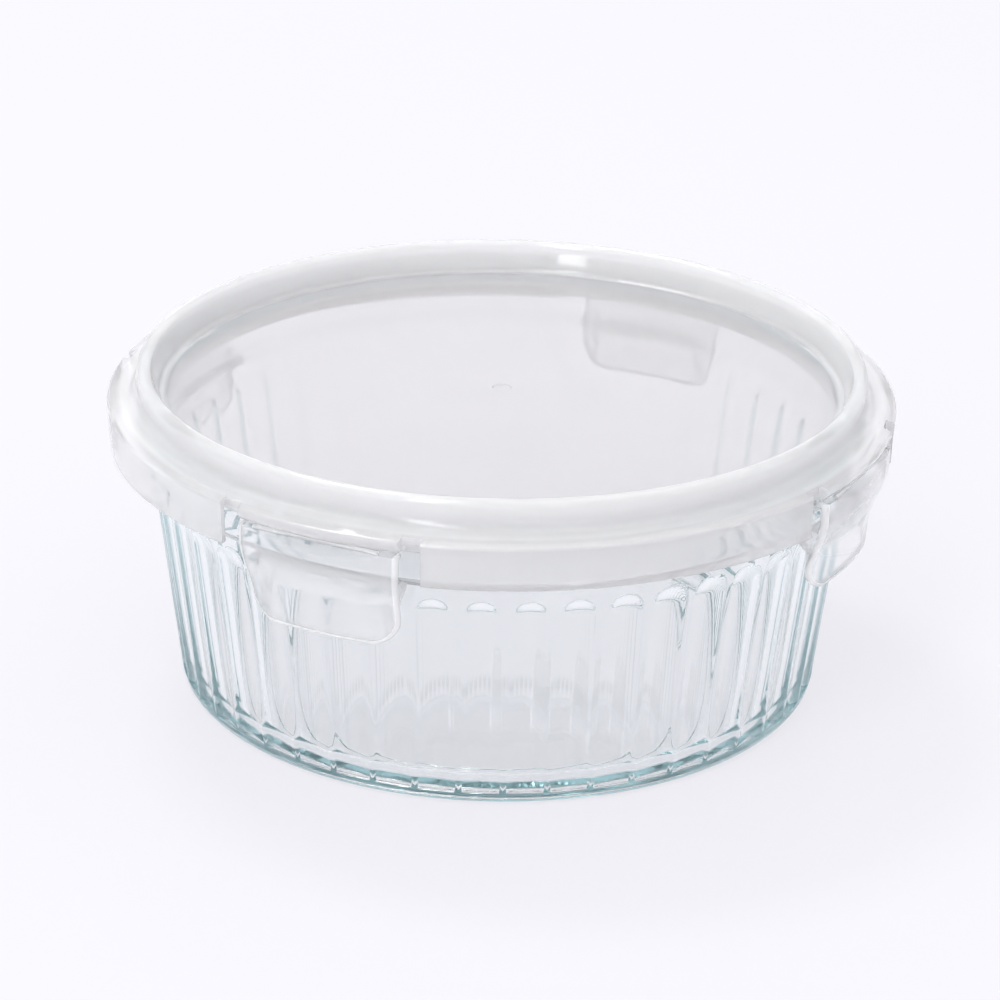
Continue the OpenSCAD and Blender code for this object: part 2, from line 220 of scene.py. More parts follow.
class Wire:
    """A value in a node tree. Arithmetic on it adds Math nodes to the tree."""

    def __init__(self, tree, socket):
        self.tree = tree
        self.socket = socket

    def out(self, which):
        """Another output of the same node."""
        return Wire(self.tree, self.socket.node.outputs[which])

    def math(self, operation, *others):
        return self.math_of(operation, self, *others)

    def math_of(self, operation, *parts):
        return add(self.tree, "ShaderNodeMath", {"operation": operation}, dict(enumerate(parts)))

    def __add__(self, other):
        return self.math_of("ADD", self, other)

    def __radd__(self, other):
        return self.math_of("ADD", other, self)

    def __sub__(self, other):
        return self.math_of("SUBTRACT", self, other)

    def __rsub__(self, other):
        return self.math_of("SUBTRACT", other, self)

    def __mul__(self, other):
        return self.math_of("MULTIPLY", self, other)

    def __rmul__(self, other):
        return self.math_of("MULTIPLY", other, self)

    def __truediv__(self, other):
        return self.math_of("DIVIDE", self, other)

    def __rtruediv__(self, other):
        return self.math_of("DIVIDE", other, self)


def new_finish(name):
    """A material with an empty node tree, and that tree."""
    finish = bpy.data.materials.new(name)
    finish.use_nodes = True
    finish.node_tree.nodes.clear()
    return finish, finish.node_tree


# clear glass: faint mould ripple, and a blue-green body colour that only shows in depth
GLASS_DEPTH_COLOUR = (0.30, 0.62, 0.65, 1.0)
glass_finish, tree = new_finish("pressed_glass")
place = add(tree, "ShaderNodeTexCoord", output="Object")
ripple = add(tree, "ShaderNodeTexNoise", {}, {"Vector": place, "Scale": 55.0, "Detail": 2.0})
smear = add(tree, "ShaderNodeTexNoise", {}, {"Vector": place, "Scale": 16.0, "Detail": 3.0})
bump = add(tree, "ShaderNodeBump", {}, {"Height": ripple, "Strength": 0.06, "Distance": 0.0004})
shader = add(tree, "ShaderNodeBsdfPrincipled", {}, {
    "Base Color": (0.998, 1.0, 1.0, 1.0), "Roughness": smear * 0.02, "IOR": 1.50,
    "Transmission Weight": 1.0, "Normal": bump})
body_tint = add(tree, "ShaderNodeVolumeAbsorption", {},
                {"Color": GLASS_DEPTH_COLOUR, "Density": 10.0})
add(tree, "ShaderNodeOutputMaterial", {}, {"Surface": shader, "Volume": body_tint})

# angles of the mesh rows across a flute, close together at the ridges on both sides of it
ridge_shares = (0.0, 0.035, 0.060, 0.080, 0.105, 0.150, 0.215, 0.300, 0.400, 0.500)
shares = ridge_shares + tuple(1 - s for s in ridge_shares[-2:0:-1])
pitch = 2 * math.pi / FLUTES
bowl_angles = [FLUTE_TURN + (i + 0.5 + s) * pitch for i in range(FLUTES) for s in shares]
bowl_mesh = turned_mesh("glass_bowl_body", bowl_section, bowl_angles)
outward(bowl_mesh)
bowl_piece = new_piece("glass_bowl_body", bowl_mesh, glass_finish)

# the flutes: every point of the wall moves in as far as the round cutter reaches there
flute_tree = bpy.data.node_groups.new("flutes", "GeometryNodeTree")
panel = flute_tree.interface
flute_sizes = {
    "Flute Count": FLUTES, "Flute Depth": FLUTE_DEPTH * MM, "Cutter Radius": flute_radius * MM,
    "Flute Top": flute_top * MM, "Flute Foot": FLUTE_FOOT * MM, "First Flute": FLUTE_TURN,
    "Foot Radius": BASE_R * MM, "Foot Corner": FOOT_CORNER * MM, "Wall Draft": DRAFT,
    "Flute Limit": UNDER_Z * MM, "Ridge Rounding": RIDGE_ROUNDING * MM}
kinds = {"Geometry": "NodeSocketGeometry", **{label: "NodeSocketFloat" for label in flute_sizes},
         "Finish": "NodeSocketMaterial"}
flute_inputs = {label: panel.new_socket(label, in_out="INPUT", socket_type=kind).identifier
                for label, kind in kinds.items()}
panel.new_socket("Geometry", in_out="OUTPUT", socket_type="NodeSocketGeometry")
group_in = add(flute_tree, "NodeGroupInput")
size = {label: group_in.out(label) for label in kinds}
spot = add(flute_tree, "ShaderNodeSeparateXYZ", {},
           {0: add(flute_tree, "GeometryNodeInputPosition")})
x, y, z = (spot.out(axis) for axis in "XYZ")
reach = (x * x + y * y).math("SQRT").math("MAXIMUM", NEAR_AXIS)
step = size["Flute Count"] / (2 * math.pi)
turns = (y.math("ARCTAN2", x) - size["First Flute"]) * step
turn = (turns - turns.math("ROUND")) / step
wall = size["Foot Radius"] + (z - size["Foot Corner"]) * size["Wall Draft"].math("TANGENT")
across = wall * turn.math("SINE")
above = ((z - size["Flute Top"]) / size["Wall Draft"].math("COSINE")).math("MAXIMUM", 0.0)
radius = size["Cutter Radius"]
bite = (radius * radius - across * across - above * above).math("MAXIMUM", 0.0).math("SQRT")
bite = (bite - (radius - size["Flute Depth"])).math("SMOOTH_MAX", 0.0, size["Ridge Rounding"])
limit = wall - bite / size["Wall Draft"].math("COSINE")
on_wall = z.math("LESS_THAN", size["Flute Limit"]) * z.math("GREATER_THAN", size["Flute Foot"])
share = (reach.math("MINIMUM", limit) / reach - 1) * on_wall + 1
moved = add(flute_tree, "ShaderNodeCombineXYZ", {}, {0: x * share, 1: y * share, 2: z})
placed = add(flute_tree, "GeometryNodeSetPosition", {},
             {"Geometry": size["Geometry"], "Position": moved})
real = add(flute_tree, "GeometryNodeRealizeInstances", {}, {"Geometry": placed})
dressed = add(flute_tree, "GeometryNodeSetMaterial", {},
              {"Geometry": real, "Material": size["Finish"]})
add(flute_tree, "NodeGroupOutput", {}, {0: dressed})

# run the tree on the bowl, and keep the result as its plain mesh
modifier = bowl_piece.modifiers.new("flutes", "NODES")
modifier.node_group = flute_tree
for label, value in flute_sizes.items():
    modifier[flute_inputs[label]] = float(value)
modifier[flute_inputs["Finish"]] = glass_finish
bpy.context.view_layer.update()
whole_scene = bpy.context.evaluated_depsgraph_get()
fluted_mesh = bpy.data.meshes.new_from_object(bowl_piece.evaluated_get(whole_scene))
bowl_piece.modifiers.remove(modifier)
bowl_piece.data = fluted_mesh
fluted_mesh.name = bowl_piece.name
bpy.data.meshes.remove(bowl_mesh)
fluted_mesh.set_sharp_from_angle(angle=math.radians(48))
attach(bowl_piece, "bowl")
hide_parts("glass_bowl")

# Seal: a ring of clear silicone, pushed by its stem into the groove under the lid's ridge.
# It presses on the glass rim when the lid is closed.
RIDGE_W = 3.3
SEAL_HALF = 1.35
SEAL_LOW = BOWL_H + 0.3
SEAL_TOP = SEAL_LOW + 3.5
SEAL_ROUND = 0.5
STEM_HALF = 0.55
STEM_TOP = SEAL_TOP + 2.8
STEM_ROUND = 0.3
SEAL_STEPS = 192
ridge = BEAD_R - RIDGE_W / 2
seal_right = (
    arc((ridge + SEAL_HALF - SEAL_ROUND, SEAL_LOW + SEAL_ROUND), SEAL_ROUND, -90, 0, steps=4)
    + arc((ridge + SEAL_HALF - STEM_ROUND, SEAL_TOP - STEM_ROUND), STEM_ROUND, 0, 90, steps=3)
    + [(ridge + STEM_HALF, SEAL_TOP)]
    + arc((ridge + STEM_HALF - STEM_ROUND, STEM_TOP - STEM_ROUND), STEM_ROUND, 0, 90, steps=3))
seal_loop = seal_right + [(2 * ridge - r, z) for r, z in seal_right[::-1]]
count = len(seal_loop)
seal_points, seal_faces = [], []
for i in range(SEAL_STEPS):
    angle = 2 * math.pi * i / SEAL_STEPS
    c, s = math.cos(angle), math.sin(angle)
    seal_points += [(r * c * MM, r * s * MM, z * MM) for r, z in seal_loop]
    here, there = i * count, (i + 1) % SEAL_STEPS * count
    for j in range(count):
        after = (j + 1) % count
        seal_faces.append((here + j, there + j, there + after, here + after))
seal_mesh = bpy.data.meshes.new("seal_ring")
seal_mesh.from_pydata(seal_points, [], seal_faces)
outward(seal_mesh)
silicone_finish, tree = new_finish("clear_silicone")
place = add(tree, "ShaderNodeTexCoord", output="Object")
grain = add(tree, "ShaderNodeTexNoise", {}, {"Vector": place, "Scale": 900.0, "Detail": 2.0})
bump = add(tree, "ShaderNodeBump", {}, {"Height": grain, "Strength": 0.15, "Distance": 0.0001})
shader = add(tree, "ShaderNodeBsdfPrincipled", {}, {
    "Base Color": (0.96, 0.97, 0.975, 1.0), "Roughness": grain * 0.1 + 0.10, "IOR": 1.12,
    "Transmission Weight": 0.8, "Coat Weight": 0.6, "Coat Roughness": 0.2, "Normal": bump})
add(tree, "ShaderNodeOutputMaterial", {}, {"Surface": shader})
seal_piece = new_piece("seal_ring", seal_mesh, silicone_finish)
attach(seal_piece, "lid")
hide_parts("seal")

# Lid: one moulding of natural polypropylene, milky where it is thick and clear in the flat panel.
# A ridge stands round the tray-shaped panel, and the shoulder outside it turns down into a skirt
# that is cut away beside each flap. Under it are a guide wall, a plug ring and the seal's groove.
LID_R = BEAD_R + 6.85
PANEL_LOW = BOWL_H + 1.5
PANEL = PANEL_LOW + 1.6
GATE_R = 2.2
GATE_DEPTH = 0.3
TRAY_DEPTH = 7.1
TRAY_LEAN = 1.7
TRAY_CORNER = 1.5
EDGE = BOWL_H + 2.6
EDGE_ROUND = 0.8
SHOULDER = EDGE + 1.1
SHOULDER_MIDDLE_R = 86.3
SWEEP = 2.3
SKIRT_H = 10.1
SKIRT_T = 1.6
SKIRT_DRAFT = 0.4
SKIRT_ROUND = 0.4
SKIRT_INNER_ROUND = 0.3
GUIDE_LOW = BOWL_H - 1.7
GUIDE_FIT = 0.4
GUIDE_T = 1.5
PLUG_LOW = BOWL_H - 2.1
PLUG_FIT = 0.5
PLUG_T = 1.2
RING_TIP = 0.2
SEAL_FIT = 0.15
HINGE_X = LID_R - 1.7
HINGE_Z = EDGE - 3.3
HINGE_SEAT_R = 0.5
FLAP_HALF = 19.1
GAP_HALF = FLAP_HALF + 4.8
WINDOW_IN = 2.2
LEDGE_RISE = 0.3
LEDGE_BEVEL = 1.6
CREST = PANEL + TRAY_DEPTH
ridge_r = RIDGE_W / 2
guide_in = BEAD_R + GUIDE_FIT
guide_out = guide_in + GUIDE_T
plug_out = wall_in(PLUG_LOW) - PLUG_FIT
plug_in = plug_out - PLUG_T
groove = SEAL_HALF + SEAL_FIT
groove_top = SEAL_TOP + SEAL_FIT
stem = STEM_HALF + SEAL_FIT
stem_top = STEM_TOP + 2 * SEAL_FIT
ledge_z = HINGE_Z + LEDGE_RISE
ledge_in = HINGE_X - WINDOW_IN
ledge_low = ledge_z + LEDGE_BEVEL
skirt_low = EDGE - SKIRT_H
skirt_in = LID_R - SKIRT_DRAFT - SKIRT_T
under = SKIRT_T + 0.2
cut_r = LID_R - 2.0
sweep_end = (ridge + ridge_r + SWEEP, SHOULDER)


def shoulder_at(r):
    """Height of the shoulder's upper face at a radius."""
    end_r, end_z = LID_R - 0.66, EDGE - 0.01
    return SHOULDER + (end_z - SHOULDER) * (r - sweep_end[0]) / (end_r - sweep_end[0])


def under_at(r):
    """Height of the shoulder's lower face at a radius."""
    return SHOULDER - under + (EDGE - SHOULDER) * (r - guide_out) / (LID_R - SKIRT_T - guide_out)


tray_centre = (ridge - ridge_r - TRAY_LEAN - TRAY_CORNER, PANEL + TRAY_CORNER)
gate_floor = PANEL - GATE_DEPTH
lid_above = (
    [(0, gate_floor), (GATE_R - 1, gate_floor), (GATE_R - 0.15, gate_floor),
     (GATE_R, PANEL - 0.02), (GATE_R + 0.3, PANEL), (20, PANEL), (50, PANEL)]
    + arc(tray_centre, TRAY_CORNER, -90, 0, steps=8)
    + line((tray_centre[0] + TRAY_CORNER, tray_centre[1]), (ridge - ridge_r, CREST - ridge_r), 3)
    + arc((ridge, CREST - ridge_r), ridge_r, 180, 0, steps=20)
    + arc((sweep_end[0], SHOULDER + SWEEP), SWEEP, 180, 270, steps=10))
lid_below = [
    (guide_out, under_at(guide_out)), (guide_out, GUIDE_LOW + RING_TIP),
    (guide_out - RING_TIP, GUIDE_LOW), (guide_in + RING_TIP, GUIDE_LOW),
    (guide_in, GUIDE_LOW + RING_TIP), (guide_in, PANEL_LOW - 0.4),
    (ridge + groove, PANEL_LOW), (ridge + groove, groove_top), (ridge + stem, groove_top),
    (ridge + stem, stem_top), (ridge - stem, stem_top), (ridge - stem, groove_top),
    (ridge - groove, groove_top), (ridge - groove, PANEL_LOW), (plug_out, PANEL_LOW),
    (plug_out, PLUG_LOW + RING_TIP), (plug_out - RING_TIP, PLUG_LOW),
    (plug_in + RING_TIP, PLUG_LOW), (plug_in, PLUG_LOW + RING_TIP), (plug_in, PANEL_LOW),
    (plug_in - 6, PANEL_LOW), (0, PANEL_LOW)]
shared_top = [(r, shoulder_at(r)) for r in (SHOULDER_MIDDLE_R, cut_r)]
edge_arc = arc((LID_R - EDGE_ROUND, EDGE - EDGE_ROUND), EDGE_ROUND, 80, 0, steps=6)
full_skirt = (
    edge_arc
    + line((LID_R, EDGE - EDGE_ROUND), (LID_R - SKIRT_DRAFT, skirt_low + SKIRT_ROUND), 4)
    + arc((LID_R - SKIRT_DRAFT - SKIRT_ROUND, skirt_low + SKIRT_ROUND), SKIRT_ROUND, -2, -90, 4)
    + arc((skirt_in + SKIRT_INNER_ROUND, skirt_low + SKIRT_INNER_ROUND),
          SKIRT_INNER_ROUND, -90, -180, steps=3)
    + line((skirt_in, skirt_low + SKIRT_INNER_ROUND), (LID_R - SKIRT_T, EDGE - under), 4)
    + [(LID_R - SKIRT_T, EDGE - under)])
under_point = (ledge_in, under_at(ledge_in))
window_corner = (ledge_in, ledge_low)
seat_edge = (HINGE_X + 0.9 * HINGE_SEAT_R, ledge_z)
ledge_skirt = (
    edge_arc + [(LID_R, ledge_low), seat_edge]
    + arc((HINGE_X, HINGE_Z), HINGE_SEAT_R, 35, 145, steps=8)
    + [(ledge_in, ledge_z), window_corner])
bare_shoulder = [(cut_r, ledge_low), window_corner]
zone_outlines = {"skirt": full_skirt, "ledge": ledge_skirt, "bare": bare_shoulder}

# one turn of the lid: for each flap a ledge, a bare gap on each side of it, and skirt up to
# the next flap
QUARTER = math.pi / 2
zones = []
for quarter in range(4):
    middle = (quarter - 1) * QUARTER
    zones += [("ledge", middle, -FLAP_HALF, FLAP_HALF, 24),
              ("bare", middle, FLAP_HALF, GAP_HALF, 3),
              ("skirt", middle, GAP_HALF, -GAP_HALF, 50),
              ("bare", middle + QUARTER, -GAP_HALF, -FLAP_HALF, 3)]


def zone_angle(middle, low, high, share, r):
    """Angle at radius r, part of the way across a zone whose two ends are cut square."""
    r = max(r, sweep_end[0])
    start = middle + math.asin(low / r)
    end = middle + math.asin(high / r)
    if end < start:
        end += QUARTER
    return start + (end - start) * share


lid_build = bmesh.new()
centre_top = lid_build.verts.new((0, 0, lid_above[0][1] * MM))
centre_low = lid_build.verts.new((0, 0, lid_below[-1][1] * MM))


def lid_points(section, place, at_r=None):
    """Points of part of the lid's section, at a place round the lid."""
    points = []
    for r, z in section:
        angle = zone_angle(*place, r if at_r is None else at_r)
        flat = r * MM
        points.append(lid_build.verts.new((flat * math.cos(angle), flat * math.sin(angle), z * MM)))
    return points


rings = []
for zone, middle, low, high, steps in zones:
    for i in range(steps):
        place = (middle, low, high, i / steps)
        rings.append({"zone": zone, "place": place,
                      "top": lid_points(lid_above[1:], place, sweep_end[0]),
                      "shared": lid_points(shared_top, place),
                      "under": lid_points([under_point], place),
                      "low": lid_points(lid_below[:-1], place, sweep_end[0])})
for i, ring in enumerate(rings):
    zone_before = rings[i - 1]["zone"]
    ring["outline"] = ring["end"] = lid_points(zone_outlines[ring["zone"]], ring["place"])
    if zone_before != ring["zone"]:
        ring["end"] = lid_points(zone_outlines[zone_before], ring["place"])


def lid_strip(a, b):
    """Faces between two rows of points."""
    for j in range(len(a) - 1):
        lid_build.faces.new((a[j], b[j], b[j + 1], a[j + 1]))


seams = {}
for i, ring in enumerate(rings):
    after = rings[(i + 1) % len(rings)]
    lid_strip(ring["top"] + ring["shared"], after["top"] + after["shared"])
    lid_strip(ring["under"] + ring["low"], after["under"] + after["low"])
    lid_strip([ring["shared"][-1]] + ring["outline"] + ring["under"],
              [after["shared"][-1]] + after["end"] + after["under"])
    lid_build.faces.new((centre_top, after["top"][0], ring["top"][0]))
    lid_build.faces.new((centre_low, ring["low"][-1], after["low"][-1]))
    if ring["end"] is ring["outline"]:
        continue
    wide, bare = ring["end"], ring["outline"]
    if ring["zone"] != "bare":
        wide, bare = bare, wide
    if "skirt" in (rings[i - 1]["zone"], ring["zone"]):
        lid_build.faces.new([ring["shared"][-1]] + wide + ring["under"] + bare[::-1])
    else:
        lid_build.faces.new([ring["shared"][-1]] + wide + [bare[0]])
        seams[bare[1]] = wide[-1]
bmesh.ops.weld_verts(lid_build, targetmap=seams)
lid_mesh = bpy.data.meshes.new("lid_moulding")
lid_build.to_mesh(lid_mesh)
lid_build.free()
outward(lid_mesh, crease=40)

RIM_TONE = (0.975, 0.977, 0.98)
# painted shade: the clear panel's colour is a grey that stands for the shaded inside of the
# container seen through it
PANEL_PAINTED_SHADE = (0.77, 0.76, 0.76)
FLOW_SHADE = 0.975
PANEL_EDGE = 76.3
SKIRT_START = 86.8
SKIRT_CLEAR = 0.5
RAMP_RATE = 800.0
CLEAR_ROUGH = 0.02
MILKY_ROUGH = 0.10
GLOSS = 0.9


def mixed_colour(tree, share, first, second):
    """A colour between two others."""
    return add(tree, "ShaderNodeMix", {"data_type": "RGBA"},
               {0: share, 6: first, 7: second}, output=2)


def polypropylene(name, clear, milky, bend, thick=None, tone=RIM_TONE):
    """Natural polypropylene: glossy outside, with faint flow marks and fine handling scratches.
    It is clear where it is thin, and milky where thick says so, from 0 to 1."""
    finish, tree = new_finish(name)
    place = add(tree, "ShaderNodeTexCoord", output="Object")
    flow = add(tree, "ShaderNodeTexNoise", {},
               {"Vector": place, "Scale": 38.0, "Detail": 3.0, "Distortion": 0.6})
    fine = add(tree, "ShaderNodeTexNoise", {}, {"Vector": place, "Scale": 700.0, "Detail": 3.0})
    bump = add(tree, "ShaderNodeBump", {},
               {"Height": flow * 0.8 + fine * 0.1, "Strength": 0.05, "Distance": 0.0006})
    outside = 1 - add(tree, "ShaderNodeNewGeometry", output="Backfacing")
    kinds = []
    # the clear kind takes the given tone; on the lid that tone is the grey painted shade
    for share, base, rough in ((clear, tone, CLEAR_ROUGH), (milky, RIM_TONE, MILKY_ROUGH)):
        shade = tuple(c * FLOW_SHADE for c in base)
        kinds.append(add(tree, "ShaderNodeBsdfPrincipled", {}, {
            "Base Color": mixed_colour(tree, flow, (*base, 1.0), (*shade, 1.0)),
            "Roughness": fine * 0.06 + rough, "IOR": bend, "Transmission Weight": share,
            "Subsurface Weight": 1.0, "Subsurface Radius": (1.0, 1.0, 1.0),
            "Subsurface Scale": 0.0015, "Coat Weight": outside * GLOSS,
            "Coat Roughness": 0.045, "Coat IOR": 1.5, "Normal": bump}))
    surface = kinds[0]
    if thick:
        surface = add(tree, "ShaderNodeMixShader", {}, {0: thick(tree), 1: kinds[0], 2: kinds[1]})
    add(tree, "ShaderNodeOutputMaterial", {}, {"Surface": surface})
    return finish


def ramp_up(reach, start):
    """0 inside a radius, and 1 from about 1 mm outside it."""
    return ((reach - start * MM) * RAMP_RATE).math("MINIMUM", 1.0).math("MAXIMUM", 0.0)


def outside_panel(tree):
    """0 over the clear panel, 1 from the tray's corner outwards, and less in the thin skirt."""
    place = add(tree, "ShaderNodeTexCoord", output="Object")
    flat = add(tree, "ShaderNodeVectorMath", {"operation": "MULTIPLY"},
               {0: place, 1: (1.0, 1.0, 0.0)})
    reach = add(tree, "ShaderNodeVectorMath", {"operation": "LENGTH"}, {0: flat}, output="Value")
    return ramp_up(reach, PANEL_EDGE) - ramp_up(reach, SKIRT_START) * SKIRT_CLEAR


# the clear panel, and the thin skirt in part, take the grey painted shade for the shaded inside
lid_finish = polypropylene("milky_polypropylene", clear=0.74, milky=0.55, bend=1.03,
                           thick=outside_panel, tone=PANEL_PAINTED_SHADE)
lid_piece = new_piece("lid_moulding", lid_mesh, lid_finish)
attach(lid_piece, "lid")
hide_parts("lid")

# Locking flaps: four thin tongues of the lid's own moulding. Behind each plate a rib hooks under
# the glass bead, and two splayed webs run from it to the lower corners. The thin flexed line that
# each hangs on is the hinge node's own solid, a little whitened by use.
FLAP_T = 1.7
FLAP_LOW = 42.3
FLAP_LEAN = 4.0
WAIST_H = 3.2
LIP_FLARE = 0.5
FLAP_TAPER = 1.2
FLAP_CORNER = 6.6
FLAP_EDGE = 0.8
CORNER_STEPS = 20
HEAD_IN = 1.3
HEAD_H = 0.6
LOCK_GAP = 0.2
LOCK_ROOT = 0.6
LOCK_CATCH = 1.1
LOCK_END = 1.6
LOCK_FLAT = 0.8
LOCK_HEEL = 3.6
WEB_OFFSET = 13.8
WEB_SPLAY = math.radians(8)
WEB_DEPTH = 0.7
WEB_HALF = 0.9
WEB_SIDE_OUT = 0.10
WEB_SIDE_IN = 0.15
RIB_SIDE = 0.12
MIN_STEP = 0.03
MILKY_DEPTH = 0.5
flap_top = HINGE_Z - 0.5
bevel_low = HINGE_Z - 2.6
knee = HINGE_Z - 4
waist = FLAP_LOW + WAIST_H
corner_y = FLAP_HALF - FLAP_TAPER - FLAP_CORNER
corner_z = FLAP_LOW + FLAP_CORNER
rib_root = BEAD_R + LOCK_ROOT
rib_top = BEAD_LOW - LOCK_GAP
rib_tip = BEAD_R - LOCK_CATCH
tip_z = rib_top - (rib_root - rib_tip) * math.tan(BEAD_SLOPE) + LOCK_GAP
heel_z = tip_z - LOCK_HEEL


def along(z, points):
    """Value at a height, between points that run downwards."""
    for (high, start), (low, end) in zip(points, points[1:]):
        if low <= z <= high:
            return start + (end - start) * (high - z) / max(high - low, 1e-9)
    return None


def face_r(z):
    """Radius of the plate's outer face."""
    lean = (1 - math.cos(math.pi * (knee - min(max(z, waist), knee)) / (knee - waist))) / 2
    return LID_R - FLAP_LEAN * lean + LIP_FLARE * max(0.0, (waist - z) / WAIST_H) ** 2


def back_r(z):
    """Radius of the plate's inner face, with the thick head that carries the hinge."""
    head_r = HINGE_X - HEAD_IN
    head = along(z, [(flap_top, head_r), (flap_top - HEAD_H, head_r),
                     (flap_top - 1, LID_R - FLAP_T)])
    return face_r(z) - FLAP_T if head is None else head


rib_steps = [(rib_top, rib_root), (tip_z, rib_tip), (tip_z - LOCK_FLAT, rib_tip),
             (heel_z, face_r(heel_z) - FLAP_T - 1)]
web_low = FLAP_LOW + 0.8
web_steps = [(rib_top - 2, rib_tip + 0.8), (rib_top - 5.5, BEAD_R + 0.4),
             (waist, face_r(waist) - FLAP_T - WEB_DEPTH),
             (web_low, face_r(web_low) - FLAP_T - WEB_DEPTH / 2)]


def outer_x(y, z):
    """How far out the plate's outer face is, with the bevel that turns up to the ledge."""
    x = math.sqrt(face_r(z) ** 2 - y * y)
    if z > bevel_low:
        bevel = (z - bevel_low) / (flap_top - bevel_low)
        x = min(x, LID_R + (HINGE_X + 0.2 - LID_R) * bevel)
    return x


def inner_x(y, z, on_rib, on_web):
    """How far out the inner face is, where the rib or a web may stand on it, and its stand."""
    plate = back_r(z)
    reach = plate
    if on_rib:
        reach = min(reach, along(z, rib_steps) or plate)
    web = along(z, web_steps) if on_web > 0 else None
    if web is not None:
        reach = min(reach, plate + (web - plate) * on_web)
    return math.sqrt(reach ** 2 - y * y), plate - reach


# The outline of the plate inside its rounded edge, as rows that run down it: height, half width,
# and the direction that the edge faces. A row lies wherever the head, the rib or its heel turns,
# with even steps between.
half_w = FLAP_HALF - FLAP_EDGE
corner_r = FLAP_CORNER - FLAP_EDGE
far = math.hypot(half_w - corner_y, knee - corner_z)
touch = math.atan2(knee - corner_z, half_w - corner_y) - math.acos(corner_r / far)
touch_y = corner_y + corner_r * math.cos(touch)
touch_z = corner_z + corner_r * math.sin(touch)
head_rows = [flap_top, flap_top - HEAD_H / 2, flap_top - HEAD_H, flap_top - 1, 63.2, bevel_low,
             62.0]
side_rows = [knee, 60.4, 59.5, 58.6, 57.8, rib_top + 0.06, rib_top, 56.3, tip_z, tip_z - 0.4,
             tip_z - LOCK_FLAT, 53.9, 53.0, heel_z, heel_z - 0.3, 51.2, 50.4, 49.6, 48.9]
flap_rows = [(z, half_w, 0.0) for z in head_rows]
for z in side_rows:
    flap_rows.append((z, half_w + (touch_y - half_w) * (knee - z) / (knee - touch_z), touch))
for i in range(CORNER_STEPS + 1):
    angle = touch + (-math.pi / 2 - touch) * i / CORNER_STEPS
    flap_rows.append((corner_z + corner_r * math.sin(angle),
                      corner_y + corner_r * math.cos(angle), angle))


def flap_columns(z, half):
    """Places across half a row, from the middle outwards, with what stands there: rib and web."""
    web = (WEB_OFFSET * face_r(min(z, rib_top)) / LID_R
           + math.tan(WEB_SPLAY) * max(0.0, rib_top - z))
    rib_end = FLAP_HALF - LOCK_END
    room = min(1.0, max(0.0, half - (web - WEB_HALF)))
    marks = [(0.0, 1, 0.0, 8),
             (web - WEB_HALF - WEB_SIDE_OUT, 1, 0.0, 1), (web - WEB_HALF + WEB_SIDE_IN, 1, room, 3),
             (web + WEB_HALF - WEB_SIDE_IN, 1, room, 1), (web + WEB_HALF + WEB_SIDE_OUT, 1, 0.0, 3),
             (rib_end, 1, 0.0, 1), (rib_end + RIB_SIDE, 0, 0.0, 2), (half, 0, 0.0, 0)]
    room_left = [half - MIN_STEP * (len(marks) - 1 - k) for k in range(len(marks))]
    places = []
    for k in range(len(marks) - 1):
        y, rib, height, steps = marks[k]
        y, after = min(y, room_left[k]), min(marks[k + 1][0], room_left[k + 1])
        for i in range(steps):
            tall = height if i == 0 or marks[k + 1][2] else 0.0
            places.append((y + (after - y) * i / steps, rib, tall))
    places.append((half, 0, 0.0))
    return places


EDGE_RING = [math.radians(a) for a in (67, 45, 22, 0, -22, -45, -67)]
flap_build = bmesh.new()
milk = flap_build.verts.layers.float.new("milk")


def flap_point(x, y, z, thick):
    vert = flap_build.verts.new((x * MM, y * MM, z * MM))
    vert[milk] = thick
    return vert


def edge_points(y, z, out_y, out_z):
    """The round edge beside one point of the outline, from the outer face to the inner."""
    points = []
    for angle in EDGE_RING:
        at_y = y + out_y * FLAP_EDGE * math.cos(angle)
        at_z = z + out_z * FLAP_EDGE * math.cos(angle)
        outer, inner = outer_x(at_y, at_z), inner_x(at_y, at_z, 0, 0)[0]
        at_x = (outer + inner) / 2 + (outer - inner) / 2 * math.sin(angle)
        points.append(flap_point(at_x, at_y, at_z, 1.0))
    return points


outer_rows, inner_rows, left_edge, right_edge = [], [], [], []
for z, half, angle in flap_rows:
    right = flap_columns(z, half)
    across = [(-y, rib, web) for y, rib, web in right[:0:-1]] + right
    ends = (0, len(across) - 1)
    outer_rows.append([flap_point(outer_x(y, z), y, z, float(i in ends))
                       for i, (y, rib, web) in enumerate(across)])
    inner = []
    for i, (y, rib, web) in enumerate(across):
        x, stand = inner_x(y, z, rib, web)
        inner.append(flap_point(x, y, z, 1.0 if i in ends else min(1.0, stand / MILKY_DEPTH)))
    inner_rows.append(inner)
    left_edge.append(edge_points(-half, z, -math.cos(angle), math.sin(angle)))
    right_edge.append(edge_points(half, z, math.cos(angle), math.sin(angle)))
low_z = flap_rows[-1][0]
low_middle = [edge_points(v.co.y / MM, low_z, 0.0, -1.0) for v in outer_rows[-1][1:-1]]
low_edge = [left_edge[-1]] + low_middle + [right_edge[-1]]
for vert in outer_rows[-1] + inner_rows[-1]:
    vert[milk] = 1.0


def flap_sheet(rows):
    """Faces between rows of points."""
    for above, below in zip(rows, rows[1:]):
        for i in range(len(above) - 1):
            flap_build.faces.new((above[i], below[i], below[i + 1], above[i + 1]))


flap_sheet(outer_rows)
flap_sheet(inner_rows)
for edge, end in ((left_edge, 0), (right_edge, -1)):
    flap_sheet([[o[end]] + ring + [i[end]] for o, ring, i in zip(outer_rows, edge, inner_rows)])
flap_sheet([[o] + ring + [i] for o, ring, i in zip(outer_rows[-1], low_edge, inner_rows[-1])])
flap_sheet([outer_rows[0], inner_rows[0]])
for edge, end in ((left_edge, 0), (right_edge, -1)):
    flap_build.faces.new([outer_rows[0][end]] + edge[0] + [inner_rows[0][end]])
flap_mesh = bpy.data.meshes.new("flap")
flap_build.to_mesh(flap_mesh)
flap_build.free()
outward(flap_mesh, crease=32)


